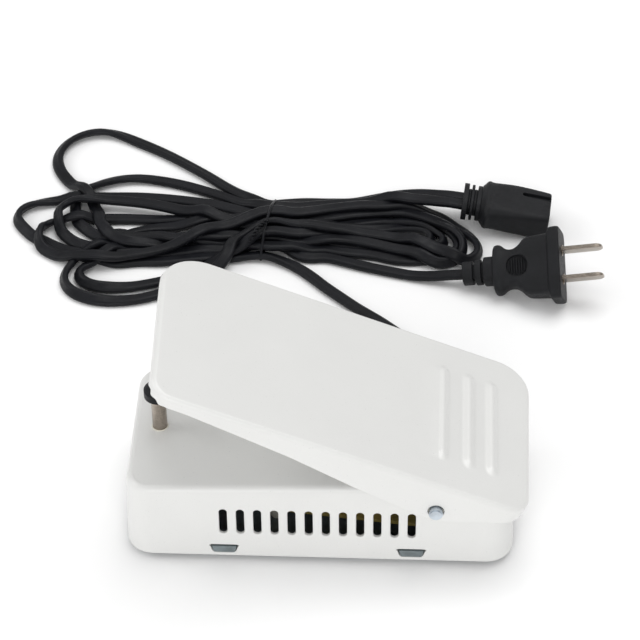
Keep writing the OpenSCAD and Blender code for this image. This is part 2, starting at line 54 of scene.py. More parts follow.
# ---- camera ----
LENS, SENSOR = 143.793, 36.0            # focal length and sensor width, mm
PITCH, ROLL, YAW = 0.7330, -0.0158, -0.0571
LOOK_FROM = 954.62                      # distance to the point it looks at, mm
LOOK_AT = (-1.055, 0.0, 92.288)         # that point, from under the housing's middle, mm
AIM_OFF = (0.00094, 0.00106)            # small turn of the axis to the right and up


def make_camera():
    ahead = np.array([math.sin(YAW) * math.cos(PITCH), math.cos(YAW) * math.cos(PITCH), -math.sin(PITCH)])
    level = np.array([math.cos(YAW), -math.sin(YAW), 0.0])
    upright = np.cross(level, ahead)
    across = math.cos(ROLL) * level + math.sin(ROLL) * upright
    above = -math.sin(ROLL) * level + math.cos(ROLL) * upright
    place = np.array([LOOK_AT[0] + MID, LOOK_AT[1], LOOK_AT[2]]) - ahead * LOOK_FROM
    aim = ahead + across * AIM_OFF[0] + above * AIM_OFF[1]
    aim /= np.linalg.norm(aim)
    right = np.cross(aim, above)
    right /= np.linalg.norm(right)
    top = np.cross(right, aim)
    cam = bpy.data.objects.new("camera", bpy.data.cameras.new("camera"))
    cam.data.sensor_width = SENSOR
    cam.data.lens = LENS
    cam.data.clip_start = 0.01
    m = Matrix.Identity(4)
    for i in range(3):
        m[i][0], m[i][1], m[i][2], m[i][3] = right[i], top[i], -aim[i], place[i] * MM
    cam.matrix_world = m
    bpy.context.scene.collection.objects.link(cam)
    bpy.context.scene.camera = cam


make_camera()


# ---- mesh helpers ----
def make_mesh(name, verts, faces, body, smooth=40):
    """A mesh object from points in millimetres, shaded smooth up to an angle, riding on a body."""
    me = bpy.data.meshes.new(name)
    me.from_pydata([tuple(float(c) * MM for c in v) for v in verts], [], [tuple(f) for f in faces])
    me.validate()
    bm = bmesh.new()
    bm.from_mesh(me)
    bmesh.ops.remove_doubles(bm, verts=bm.verts, dist=2e-6)
    bmesh.ops.recalc_face_normals(bm, faces=bm.faces)
    bm.to_mesh(me)
    bm.free()
    for p in me.polygons:
        p.use_smooth = True
    if smooth:
        me.set_sharp_from_angle(angle=math.radians(smooth))
    ob = bpy.data.objects.new(name, me)
    bpy.context.scene.collection.objects.link(ob)
    if body:
        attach(ob, body)
    return ob


def weld_normals(ob):
    m = ob.modifiers.new("flat faces stay flat", "WEIGHTED_NORMAL")
    m.keep_sharp = True
    m.weight = 80


def bands(rings):
    """Faces between successive rings of equal size, numbered one after another."""
    n = len(rings[0])
    faces = []
    for i in range(len(rings) - 1):
        for k in range(n):
            a, b = rings[i][k], rings[i][(k + 1) % n]
            c, d = rings[i + 1][(k + 1) % n], rings[i + 1][k]
            faces.append((a, b, c, d))
    return faces


def loft(sections):
    """Points and faces of a skin over sections of equal size, capped at both ends."""
    verts, rings = [], []
    for s in sections:
        rings.append(list(range(len(verts), len(verts) + len(s))))
        verts.extend(s)
    return verts, bands(rings) + [tuple(rings[0][::-1]), tuple(rings[-1])]


def gather(skins):
    """Several skins, each its points and faces, as one."""
    verts, faces = [], []
    for v, f in skins:
        s = len(verts)
        verts += v
        faces += [tuple(i + s for i in t) for t in f]
    return verts, faces


def bake(ob):
    """Makes the work of a mesh's modifiers permanent."""
    deps = bpy.context.evaluated_depsgraph_get()
    me = bpy.data.meshes.new_from_object(ob.evaluated_get(deps))
    ob.modifiers.clear()
    old = ob.data
    ob.data = me
    bpy.data.meshes.remove(old)


def super_ring(x, y0, y1, z0, z1, e, n=40):
    """Rounded section across X between two widths and heights; e is 1 for an oval, small for a box."""
    pts = []
    for k in range(n):
        a = 2 * math.pi * k / n
        c, s = math.cos(a), math.sin(a)
        pts.append((x, (y0 + y1) / 2 + (y1 - y0) / 2 * math.copysign(abs(c) ** e, c),
                    (z0 + z1) / 2 + (z1 - z0) / 2 * math.copysign(abs(s) ** e, s)))
    return pts


def turn(pts, at, angles):
    """Points turned about X, then Y, then Z, in degrees, and moved to a place."""
    rx, ry, rz = [math.radians(a) for a in angles]
    m = Matrix.Rotation(rz, 3, "Z") @ Matrix.Rotation(ry, 3, "Y") @ Matrix.Rotation(rx, 3, "X")
    return [tuple(m @ Vector(p) + Vector(at)) for p in pts]


def rounded_rect(hx, hy, radii, n=12, step=4.0):
    """Outline of a rectangle, counter-clockwise from the far +X corner, with a radius for each corner and
    the outward direction at each point."""
    pts = []
    for r, sx, sy, a0 in zip(radii, (1, -1, -1, 1), (1, 1, -1, -1), (0, 90, 180, 270)):
        cx, cy = sx * (hx - r), sy * (hy - r)
        for k in range(n + 1):
            a = math.radians(a0 + 90 * k / n)
            pts.append((cx + r * math.cos(a), cy + r * math.sin(a), math.cos(a), math.sin(a)))
    out = []
    for i, p in enumerate(pts):
        q = pts[(i + 1) % len(pts)]
        out.append(p)
        gap = math.hypot(q[0] - p[0], q[1] - p[1])
        if gap > 2 * step:
            m = int(gap / step)
            for k in range(1, m):
                t = k / m
                out.append(tuple(p[j] + (q[j] - p[j]) * t for j in range(4)))
    return out


# ---- materials ----
def surface(name, base, rough, metal=0.0, spread=0.06, patch=45, grain=900, bump=0.05, coat=0.0,
            rough_spread=0.06, streak=None, specks=0.0, level=0.5):
    """A procedural finish: broad colour variation, uneven gloss and fine surface relief."""
    mat = bpy.data.materials.new(name)
    mat.use_nodes = True
    nt = mat.node_tree
    bsdf = nt.nodes["Principled BSDF"]
    bsdf.inputs["Metallic"].default_value = metal
    bsdf.inputs["Coat Weight"].default_value = coat
    bsdf.inputs["Coat Roughness"].default_value = 0.12
    bsdf.inputs["Specular IOR Level"].default_value = level
    at = nt.nodes.new("ShaderNodeTexCoord")
    stretch = nt.nodes.new("ShaderNodeMapping")
    if streak:
        stretch.inputs["Scale"].default_value = streak
    nt.links.new(at.outputs["Object"], stretch.inputs["Vector"])

    def noise(scale, detail=3.0, raw=False):
        n = nt.nodes.new("ShaderNodeTexNoise")
        n.inputs["Scale"].default_value = scale
        n.inputs["Detail"].default_value = detail
        nt.links.new((at.outputs["Object"] if raw else stretch.outputs["Vector"]), n.inputs["Vector"])
        return n

    wide = noise(patch)
    ramp = nt.nodes.new("ShaderNodeValToRGB")
    lo = [max(0.0, c * (1 - spread)) for c in base]
    hi = [min(1.0, c * (1 + spread)) for c in base]
    ramp.color_ramp.elements[0].position = 0.3
    ramp.color_ramp.elements[1].position = 0.7
    ramp.color_ramp.elements[0].color = lo + [1]
    ramp.color_ramp.elements[1].color = hi + [1]
    nt.links.new(wide.outputs["Fac"], ramp.inputs["Fac"])
    colour = ramp.outputs["Color"]
    if specks:
        dots = noise(1500, 1.0, raw=True)
        cut = nt.nodes.new("ShaderNodeMapRange")
        cut.inputs["From Min"].default_value = 0.72
        cut.inputs["From Max"].default_value = 0.80
        cut.inputs["To Max"].default_value = specks
        nt.links.new(dots.outputs["Fac"], cut.inputs["Value"])
        mix = nt.nodes.new("ShaderNodeMix")
        mix.data_type = "RGBA"
        nt.links.new(cut.outputs["Result"], mix.inputs["Factor"])
        nt.links.new(colour, mix.inputs["A"])
        mix.inputs["B"].default_value = [c * 0.45 for c in base] + [1]
        colour = mix.outputs["Result"]
    nt.links.new(colour, bsdf.inputs["Base Color"])
    mid = noise(patch * 6)
    rr = nt.nodes.new("ShaderNodeMapRange")
    rr.inputs["From Min"].default_value = 0.3
    rr.inputs["From Max"].default_value = 0.7
    rr.inputs["To Min"].default_value = max(0.02, rough - rough_spread)
    rr.inputs["To Max"].default_value = min(1.0, rough + rough_spread)
    nt.links.new(mid.outputs["Fac"], rr.inputs["Value"])
    nt.links.new(rr.outputs["Result"], bsdf.inputs["Roughness"])
    fine = noise(grain, 2.0)
    b = nt.nodes.new("ShaderNodeBump")
    b.inputs["Strength"].default_value = bump
    b.inputs["Distance"].default_value = 0.0004
    nt.links.new(fine.outputs["Fac"], b.inputs["Height"])
    nt.links.new(b.outputs["Normal"], bsdf.inputs["Normal"])
    return mat


FINISH = {
    "white_paint": surface("white_paint", (0.72, 0.72, 0.705), 0.36, spread=0.012, patch=30, grain=1100,
                           bump=0.10, coat=0.35, specks=0.25, level=0.45),
    "zinc_plate": surface("zinc_plate", (0.52, 0.57, 0.62), 0.34, metal=1.0, spread=0.16, patch=220,
                          grain=2500, bump=0.18),
    "bright_steel": surface("bright_steel", (0.60, 0.60, 0.60), 0.28, metal=1.0, spread=0.08, patch=200,
                            grain=3000, bump=0.1, streak=(1, 1, 6)),
    "nickel": surface("nickel", (0.36, 0.315, 0.27), 0.24, metal=1.0, spread=0.12, patch=160, grain=2600,
                      bump=0.16, streak=(1, 1, 9)),
    "blued_steel": surface("blued_steel", (0.17, 0.20, 0.21), 0.42, metal=0.3, spread=0.25, patch=200,
                           grain=2600, bump=0.2),
    "black_plastic": surface("black_plastic", (0.0085, 0.009, 0.0105), 0.50, spread=0.25, patch=120,
                             grain=4200, bump=0.30, specks=0.08, level=0.20),
    "dark_rubber": surface("dark_rubber", (0.012, 0.012, 0.0125), 0.62, spread=0.2, patch=150, grain=3500,
                           bump=0.35, level=0.25),
    "nylon": surface("nylon", (0.78, 0.75, 0.66), 0.45, spread=0.04, patch=150, grain=2600, bump=0.1),
    "phenolic": surface("phenolic", (0.30, 0.24, 0.07), 0.5, spread=0.22, patch=260, grain=2200, bump=0.25,
                        streak=(1, 5, 1)),
    "aluminium": surface("aluminium", (0.72, 0.73, 0.74), 0.34, metal=1.0, spread=0.06, patch=180,
                         grain=2600, bump=0.16, streak=(8, 1, 1)),
    "film_yellow": surface("film_yellow", (0.62, 0.38, 0.05), 0.3, spread=0.1, patch=160, grain=900,
                           bump=0.1),
    "ferrite": surface("ferrite", (0.09, 0.095, 0.09), 0.55, spread=0.2, patch=240, grain=3200, bump=0.3),
    "copper_wire": surface("copper_wire", (0.60, 0.22, 0.07), 0.26, metal=1.0, spread=0.14, patch=240,
                           grain=1800, bump=0.2),
    "resistor_tan": surface("resistor_tan", (0.48, 0.33, 0.17), 0.36, spread=0.12, patch=260, grain=1900,
                            bump=0.15),
    "terminal_green": surface("terminal_green", (0.03, 0.13, 0.07), 0.45, spread=0.15, patch=200, grain=3000,
                              bump=0.2),
    "brass": surface("brass", (0.72, 0.52, 0.20), 0.28, metal=1.0, spread=0.1, patch=200, grain=2600,
                     bump=0.14),
    "red_wire": surface("red_wire", (0.40, 0.02, 0.015), 0.35, spread=0.12, patch=200, grain=1800,
                        bump=0.12),
    "cord_pvc": surface("cord_pvc", (0.0060, 0.0064, 0.0085), 0.42, spread=0.25, patch=90, grain=3400,
                        bump=0.22, rough_spread=0.08, specks=0.06, level=0.20),
}


def dress(ob, slot_name):
    ob.data.materials.clear()
    ob.data.materials.append(FINISH[slot_name])


# every CAD node that stays in view takes its slot's finish
for part in frame["record"]["subparts"]:
    ob = frame["nodes"][part["node"]]
    for s in ob.material_slots:
        s.material = FINISH[part["material_slot"]]

# ---- cords ----
CORD_W, CORD_T = 5.4, 3.1
LAY_STEP, SKIN_STEP = 2.5, 2.2          # spacing of points along a cord while it settles, and in its skin
FIXED_START, FIXED_END = 26, 4          # how many points stay put at the strain relief and at other ends
LEVEL_ENDS = 8                          # how many points at each end keep the cord level
LEAN_STARTS, LEAN_FULL = 55, 17         # radii of bend at which a flat cord starts to lean and leans fully
LEAN = 66                               # how far it leans then, degrees
NEAR = 9                                # strands further apart than this cannot touch
SAG_MOST = 1.55                         # most bow over four steps, which limits the bend
TIE_X = -34.5
# places of the fourteen strands at the tie: (y, z)
SLOT = {"a0": (143, 1.7), "a1": (149.8, 1.7), "a2": (156.6, 1.7), "a3": (163.4, 1.7), "a4": (170.2, 1.7),
        "a5": (177.2, 1.7), "b0": (146.5, 5.1), "b1": (153.3, 5.1), "b2": (160, 5.1), "b3": (166.8, 5.1),
        "b4": (173.6, 5.1), "c0": (152.5, 8.5), "c1": (159.5, 8.5), "c2": (166.5, 8.5)}
# loops left and right of the tie, from the first slot to the second
LEFT = {
    ("a2", "a5"): [(-50, 154.5, 2), (-66, 151.5, 3), (-82, 148.5, 4), (-94, 148, 5), (-104, 152, 6),
                   (-109.5, 161, 6), (-112, 171, 5), (-117, 181, 4), (-126, 191, 3), (-132.5, 201, 3),
                   (-134, 212, 3), (-128, 223.5, 3), (-115, 229, 3), (-92, 218.5, 3), (-67, 200.5, 3),
                   (-52, 188, 2)],
    ("b1", "b4"): [(-48, 152.5, 5), (-62, 152, 6), (-78, 151.5, 6), (-92, 151.5, 6), (-104, 152.5, 5),
                   (-113, 156.5, 4.5), (-119, 163.5, 3.5), (-121.5, 173, 3), (-119.5, 184, 3),
                   (-111, 191.5, 4), (-98, 195.5, 4), (-84, 194, 4), (-72, 190.5, 4.5), (-60, 185.5, 5),
                   (-47, 179.5, 5)],
    ("a1", "b2"): [(-50, 149.5, 2), (-66, 149, 2), (-84, 146, 2.5), (-101, 143.5, 3), (-115, 146.5, 3.5),
                   (-124, 153.5, 5), (-129, 162, 7), (-127.5, 170.5, 9), (-119, 175, 9.5), (-106, 176, 9.5),
                   (-87, 173.5, 9.5), (-65, 167.5, 9), (-48, 162.5, 7)],
    ("a0", "a4"): [(-48, 142.5, 1.7), (-64, 141, 1.7), (-84, 139, 2), (-106, 138.5, 3), (-122, 143, 4),
                   (-134, 150.5, 4), (-143, 158, 3.5), (-147.5, 165.5, 3), (-143.5, 173.5, 3),
                   (-130, 178.5, 3), (-110, 181.5, 3), (-90, 182, 2), (-64, 178.5, 1.7), (-48, 174, 1.7)],
    ("a3", "c2"): [(-48, 163.5, 2), (-62, 165, 2), (-84, 166.5, 3), (-106, 166.5, 4.5), (-122, 165, 5),
                   (-132.5, 161, 5), (-137.5, 153, 5), (-133.5, 145, 6), (-122, 139, 7), (-108, 136.5, 8),
                   (-94, 138.5, 9), (-80, 143, 9.5), (-65, 151, 10), (-50, 160, 9.5)],
    ("b3", "c1"): [(-48, 166.5, 5), (-62, 165, 6), (-80, 162, 5.5), (-93, 157.5, 5), (-104, 150.5, 4.5),
                   (-113, 142, 3.5), (-119.5, 133.5, 3), (-121.5, 125, 3), (-118, 117, 3), (-110, 112.5, 3),
                   (-98, 111.5, 3), (-84, 114.5, 3), (-69, 123, 3.5), (-56, 135, 6), (-45, 149, 8)],
    ("b0", "c0"): [(-48, 150, 5), (-60, 151.5, 4), (-78, 150.5, 3), (-94, 147, 3), (-105.5, 141, 3.5),
                   (-113, 134, 3.5), (-115.5, 127, 4), (-110.5, 121, 5), (-98, 120, 5), (-83, 123.5, 4.5),
                   (-68, 130, 4.5), (-55, 139, 6), (-45, 148, 8)],
}
RIGHT = {
    ("a4", "b0"): [(-20, 171, 1.8), (-4, 173, 2), (14, 174, 2), (30, 170.5, 2), (42, 163.5, 2),
                   (49.5, 155.5, 2), (50.5, 148, 2), (44.5, 142.5, 2), (33, 143.5, 2.2), (18, 148, 2.6),
                   (2, 150, 3.8), (-16, 148.5, 5)],
    ("c0", "a2"): [(-21, 154.5, 8), (-6, 158.5, 7), (8, 163, 6), (20, 165.5, 5.4), (29, 165, 5),
                   (36, 161.5, 4.6), (38.5, 156, 4), (36, 150.5, 3.4), (28, 147.5, 3), (16, 149.5, 2.4),
                   (0, 152.5, 2), (-18, 155.5, 1.7)],
    ("b2", "a3"): [(-21, 160.5, 5.2), (-7, 163.5, 5.5), (8, 166, 5.5), (22, 167.5, 5.5), (34, 166, 5.2),
                   (41.5, 162, 5), (44.5, 156, 4.6), (42, 150, 4), (34.5, 147, 3.4), (24, 148.5, 2.8),
                   (12, 152.5, 2.2), (-2, 157.5, 1.8), (-18, 162.5, 1.7)],
    ("c2", "c1"): [(-24, 167.5, 9.2), (-13, 171, 9.3), (0, 174, 9.2), (15, 175.5, 9), (28.5, 174.5, 8.4),
                   (40, 170.5, 7), (49.5, 164.5, 5.6), (56, 157.5, 4.8), (59, 150, 4.2), (56.5, 143, 3.8),
                   (49, 140.8, 4.6), (40, 145.5, 7), (29, 151.5, 8.4), (15, 155.5, 8.8), (0, 157.5, 8.9),
                   (-16, 158.5, 9)],
    ("b3", "b1"): [(-20, 168.5, 5.4), (-6, 171, 5.4), (7.5, 173, 5.4), (18, 173.5, 5.4), (28, 171.5, 5.4),
                   (38, 167, 5.2), (46, 160, 5), (51, 152.5, 5), (51, 145.5, 5), (44, 141.5, 5),
                   (33, 143, 5.2), (20, 147.5, 5.6), (6, 152, 5.8), (-8, 153.5, 5.4)],
}
PEDAL_END = [(36, 37, 12), (36, 48, 12), (36, 58, 11.4), (36, 66, 9.2), (35.5, 74, 5.8), (32.5, 82, 3),
             (28, 90, 2), (22, 97, 2), (15, 103.5, 2), (7, 110, 2), (-0.5, 117, 2), (-8, 124, 2),
             (-14.5, 131, 1.8), (-21, 136.5, 1.7), (-28, 140.5, 1.7)]
PLUG_END = [(-28, 149, 1.7), (-14, 146, 1.8), (-5, 142.5, 2), (4, 139.5, 2), (13, 136.8, 2),
            (22, 134.4, 2.2), (31, 132.2, 2.8), (40, 130.6, 3.8), (47, 129.6, 5), (53.3, 129, 6.1)]
LINK_A = [(-28, 178.5, 2), (-16, 179.5, 3), (-4, 180.5, 4.4), (8, 181.5, 6), (20, 181.8, 7.6),
          (32, 180.6, 9), (43, 178.2, 10), (52.5, 175.9, 10.5)]
LINK_B = [(-28, 174.5, 5.2), (-16, 175.5, 6), (-4, 176.4, 7), (8, 177, 8), (20, 177, 9), (32, 175.7, 9.8),
          (43, 173.2, 10.3), (52.5, 170.9, 10.5)]


def at_tie(s):
    y, z = SLOT[s]
    return [(TIE_X, y, z)]


def chain(first, hops, last):
    """A cord's listed points: its first end, then loop after loop through the tie, then its other end."""
    pts = list(first)
    for table, a, b in hops:
        pts += at_tie(a)
        pts += table[(a, b)] if (a, b) in table else table[(b, a)][::-1]
    pts += at_tie(hops[-1][2]) + list(last)
    return np.array(pts, float)


def spline(pts, step):
    """Centripetal Catmull-Rom through the points, taken at an even step."""
    p = np.vstack([2 * pts[0] - pts[1], pts, 2 * pts[-1] - pts[-2]])
    out = []
    for i in range(1, len(p) - 2):
        t = [0.0]
        for k in range(3):
            t.append(t[-1] + math.sqrt(np.linalg.norm(p[i + k] - p[i + k - 1]) + 1e-9))
        for s in np.linspace(t[1], t[2], 24, endpoint=False):
            a = [(t[k + 1] - s) / (t[k + 1] - t[k]) * p[i - 1 + k] + (s - t[k]) / (t[k + 1] - t[k]) * p[i + k]
                 for k in range(3)]
            b = [(t[k + 2] - s) / (t[k + 2] - t[k]) * a[k] + (s - t[k]) / (t[k + 2] - t[k]) * a[k + 1]
                 for k in range(2)]
            out.append((t[2] - s) / (t[2] - t[1]) * b[0] + (s - t[1]) / (t[2] - t[1]) * b[1])
    out.append(p[-2])
    return even(np.array(out), step)


def even(pts, step):
    d = np.r_[0, np.cumsum(np.linalg.norm(np.diff(pts, axis=0), axis=1))]
    n = max(2, int(round(d[-1] / step)) + 1)
    s = np.linspace(0, d[-1], n)
    return np.stack([np.interp(s, d, pts[:, k]) for k in range(3)], 1)


def blur(a, n):
    k = np.hanning(2 * n + 3)[1:-1]
    k /= k.sum()
    pad = np.concatenate([a[:1].repeat(n, 0), a, a[-1:].repeat(n, 0)])
    if a.ndim == 1:
        return np.convolve(pad, k, "valid")
    return np.stack([np.convolve(pad[:, j], k, "valid") for j in range(a.shape[1])], 1)


def lie(p):
    """Directions across the width and across the thickness of a flat cord: it bends over its flat
    side, so it stands on edge where it turns sideways and lies flat where it runs straight."""
    t = np.gradient(p, axis=0)
    t /= np.linalg.norm(t, axis=1)[:, None]
    step = np.linalg.norm(p[1] - p[0])
    k = np.gradient(t, axis=0) / step
    k = blur(k, 4)
    side = np.cross(t, UP)
    side /= np.linalg.norm(side, axis=1)[:, None]
    bend = (k * side).sum(1)
    tight = (np.abs(bend) - 1 / LEAN_STARTS) / (1 / LEAN_FULL - 1 / LEAN_STARTS)
    edge = np.clip(tight, 0, 1) * np.sign(bend) * LEAN
    i = np.arange(len(p))
    edge += 9 * np.sin(i * 0.061 + 1.3) + 6 * np.sin(i * 0.137)
    edge[:LEVEL_ENDS] = 0
    edge[-LEVEL_ENDS:] = 0
    edge = np.radians(blur(edge, 7))
    up = np.cross(side, t)
    w = side * np.cos(edge)[:, None] + up * np.sin(edge)[:, None]
    return w, np.cross(w, t)


def settle(cords, rounds=150):
    """Moves the strands apart where they touch and down onto the floor, keeping each near its given line."""
    p = np.vstack(cords)
    home = p.copy()
    cuts = np.cumsum([0] + [len(c) for c in cords])
    which = np.concatenate([np.full(len(c), i) for i, c in enumerate(cords)])
    held = np.zeros(len(p), bool)
    for a, b in zip(cuts[:-1], cuts[1:]):
        held[a:a + (FIXED_START if a == 0 else FIXED_END)] = True
        held[b - FIXED_END:b] = True
    tied = np.exp(-((p[:, 0] - TIE_X) / 5.0) ** 2)
    for a, b in zip(cuts[:-1], cuts[1:]):
        k = np.arange(b - a)
        from_start = np.maximum(k - (FIXED_START - 4 if a == 0 else 2), 0)
        near_end = np.exp(-np.minimum(from_start, b - a - 1 - k) / 5.0)
        tied[a:b] = np.maximum(tied[a:b], near_end)
    for it in range(rounds):
        if it % 10 == 0:
            w, n = [np.vstack(q) for q in zip(*[lie(p[a:b]) for a, b in zip(cuts[:-1], cuts[1:])])]
            d = ((p[:, None, :] - p[None, :, :]) ** 2).sum(2)
            i, j = np.nonzero(np.triu(d < NEAR ** 2, 1))
            keep = (which[i] != which[j]) | (np.abs(i - j) > 6)
            i, j = i[keep], j[keep]
        low = 0.05 + np.sqrt((CORD_W / 2 * w[:, 2]) ** 2 + (CORD_T / 2 * n[:, 2]) ** 2)
        diff = p[i] - p[j]
        rank = np.sign(home[i, 2] - home[j, 2])
        diff[:, 2] += 0.6 * rank
        dist = np.linalg.norm(diff, axis=1) + 1e-9
        u = diff / dist[:, None]
        real = np.linalg.norm(p[i] - p[j], axis=1)

        def reach(q):
            return np.sqrt((CORD_W / 2 * (u * w[q]).sum(1)) ** 2 + (CORD_T / 2 * (u * n[q]).sum(1)) ** 2)
        gap = reach(i) + reach(j) + 0.08 - real
        hit = gap > 0
        push = np.zeros_like(p)
        count = np.zeros(len(p))
        mv = u[hit] * (gap[hit] * 0.5)[:, None]
        np.add.at(push, i[hit], mv)
        np.add.at(push, j[hit], -mv)
        np.add.at(count, i[hit], 1)
        np.add.at(count, j[hit], 1)
        step = push / np.maximum(count, 1)[:, None] * 1.1
        q = p + step
        q[:, 2] -= 0.06
        mean = p.copy()
        for a, b in zip(cuts[:-1], cuts[1:]):
            mean[a + 1:b - 1] = (p[a:b - 2] + p[a + 2:b]) / 2
            mean[a + 2:b - 2] = (-p[a:b - 4] + 4 * p[a + 1:b - 3] + 4 * p[a + 3:b - 1] - p[a + 4:b]) / 6
        late = 0.35 if it > rounds - 25 else 0.5
        q += late * (mean - p)
        # no bend tighter than the cord takes
        sag = np.zeros_like(p)
        for a, b in zip(cuts[:-1], cuts[1:]):
            sag[a + 2:b - 2] = (p[a:b - 4] + p[a + 4:b]) / 2 - p[a + 2:b - 2]
        size = np.linalg.norm(sag, axis=1)
        q += sag * (np.maximum(0, size - SAG_MOST) / (size + 1e-9))[:, None] * 0.6
        pull = 0.03 + 0.35 * tied
        q[:, :2] += (home - q)[:, :2] * pull[:, None]
        q[:, 2] += (home - q)[:, 2] * (0.01 + 0.3 * tied)
        q[:, 2] = np.maximum(q[:, 2], low)
        q[held] = home[held]
        p = q
    return [p[a:b] for a, b in zip(cuts[:-1], cuts[1:])]


hand_a = chain(PEDAL_END, [(LEFT, "a0", "a4"), (RIGHT, "a4", "b0"), (LEFT, "b0", "c0"),
                           (RIGHT, "c0", "a2"), (LEFT, "a2", "a5")], LINK_A)
hand_b = chain(LINK_B[::-1], [(LEFT, "b4", "b1"), (RIGHT, "b1", "b3"), (LEFT, "b3", "c1"),
                              (RIGHT, "c1", "c2"), (LEFT, "c2", "a3"), (RIGHT, "a3", "b2"),
                              (LEFT, "b2", "a1")], PLUG_END)
run_a, run_b = settle([spline(hand_a, LAY_STEP), spline(hand_b, LAY_STEP)])


def flat_cord(name, line, body):
    """The flat two-core cord along a line, with a shallow groove between its cores."""
    line = even(line, SKIN_STEP)
    w, n = lie(line)
    shape = []
    for k in range(24):
        a = 2 * math.pi * k / 24
        c, s = math.cos(a), math.sin(a)
        y = CORD_W / 2 * math.copysign(abs(c) ** 0.72, c)
        z = CORD_T / 2 * math.copysign(abs(s) ** 0.62, s)
        z *= 1 - 0.20 * math.exp(-(y / 0.55) ** 2)
        shape.append((y, z))
    for p, wv, nv in zip(line, w, n):
        # a leaning stretch is lifted until its lower edge only touches the floor
        p[2] = max(p[2], 0.05 - min(wv[2] * y + nv[2] * z for y, z in shape))
    verts, faces = loft([[p + wv * y + nv * z for y, z in shape] for p, wv, nv in zip(line, w, n)])
    ob = make_mesh(name, verts, faces, body, 60)
    dress(ob, "cord_pvc")
    length = float(np.linalg.norm(np.diff(line, axis=0), axis=1).sum()) * MM
    return ob, [tuple(p * MM) for p in line], length


pedal_lead, path_a, len_a = flat_cord("pedal_lead", run_a, "base")
mains_lead, path_b, len_b = flat_cord("mains_lead", run_b, "base")
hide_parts("pedal_cord", "cord_hank", "connector_cords")
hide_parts("plug_cord")

# ---- pressed steel housing and treadle ----
BASE_L, BASE_W, BASE_R, FOOT, SHEET, DRAFT = 150.0, 72.0, 11.0, 2.5, 1.2, 0.04
ROOF, SLOPE, CREST, DROP = 38.8, 0.035, 65.66, 0.42447
PIN = (44.7, 34.3)                      # the hinge pin's place in the housing, along X and up
ROD_AT, CORD_AT, CORD_UP = -63, 36, 12  # the rod's and the cord's places along X, and the cord's height
VENTS, VENT_STEP, VENT_W = 12, 6.56, 3.1
EDGE = 0.35                             # height of the sheet's rounded bottom edge
TILT = math.radians(23)


def filled(loop, inner):
    """Points and triangles of a flat region inside a loop, with inner points."""
    pts = [Vector(p) for p in list(loop) + list(inner)]
    edges = [(i, (i + 1) % len(loop)) for i in range(len(loop))]
    v, _, f, *_ = delaunay_2d_cdt(pts, edges, [], 1, 1e-5)
    return [tuple(p) for p in v], [tuple(t) for t in f]


def covered(rings, inner, height):
    """A skin over rings, closed inside the last one by a mesh that rises to height(x, y). It comes with the
    numbers of the first ring's points."""
    verts, idx = [], []
    for r in rings:
        idx.append(list(range(len(verts), len(verts) + len(r))))
        verts.extend(r)
    flat, tris = filled([(p[0], p[1]) for p in rings[-1]], inner)
    lid = ([(x, y, height(x, y)) for x, y in flat], tris)
    return (*gather([(verts, bands(idx)), lid]), idx[0])


def sheet_shell(outer, inner):
    """A closed sheet from its outer and inner skins, with a rounded edge between their first rings."""
    v1, f1, rim1 = outer
    v2, f2, rim2 = inner
    s = len(v1)
    verts, faces = gather([(v1, f1), (v2, [t[::-1] for t in f2])])
    arcs = [rim1]
    for k in range(1, 6):
        a = math.pi * k / 6
        t = 0.5 - 0.5 * math.cos(a)
        arcs.append(list(range(len(verts), len(verts) + len(rim1))))
        for i, j in zip(rim1, rim2):
            p, q = verts[i], verts[j + s]
            verts.append((p[0] + (q[0] - p[0]) * t, p[1] + (q[1] - p[1]) * t,
                          p[2] + (q[2] - p[2]) * t - EDGE * math.sin(a)))
    arcs.append([i + s for i in rim2])
    return verts, faces + bands(arcs)


def inside(x, y, poly):
    odd = False
    j = len(poly) - 1
    for i in range(len(poly)):
        if (poly[i][1] > y) != (poly[j][1] > y):
            if x < (poly[j][0] - poly[i][0]) * (y - poly[i][1]) / (poly[j][1] - poly[i][1]) + poly[i][0]:
                odd = not odd
        j = i
    return odd


def roof_at(x, lower=0.0):
    """Height of the roof, with a soft crest where it meets the rear chamfer."""
    a = ROOF + SLOPE * x - lower
    b = CREST - DROP * x - lower * 1.09
    k = 5.0
    h = min(1.0, max(0.0, 0.5 + 0.5 * (b - a) / k))
    return b + (a - b) * h - k * h * (1 - h) * 0.5


def housing_skin(inset, fold):
    """One face of the housing's sheet: walls with draft, a folded edge and the roof."""
    lower, z0 = inset, FOOT + EDGE
    outline = rounded_rect(BASE_L / 2, BASE_W / 2, [BASE_R] * 4, 14, 3.0)

    def ring(depth, height):
        out = []
        for x, y, nx, ny in outline:
            z = height(x)
            d = depth + DRAFT * (z - FOOT)
            out.append((x - nx * d, y - ny * d, z))
        return out

    rings = []
    for k in range(9):
        t = k / 8
        rings.append(ring(inset, lambda x: z0 + (roof_at(x, lower) - fold - z0) * t))
    for k in range(1, 8):
        a = math.pi / 2 * k / 7
        rings.append(ring(inset + fold * (1 - math.cos(a)),
                          lambda x: roof_at(x, lower) - fold * (1 - math.sin(a))))
    inner = [(x, y) for x in np.arange(-BASE_L / 2 + 8, BASE_L / 2 - 6, 4.0)
             for y in np.arange(-BASE_W / 2 + 7, BASE_W / 2 - 6, 5.0)]
    return covered(rings, inner, lambda x, y: roof_at(x, lower))


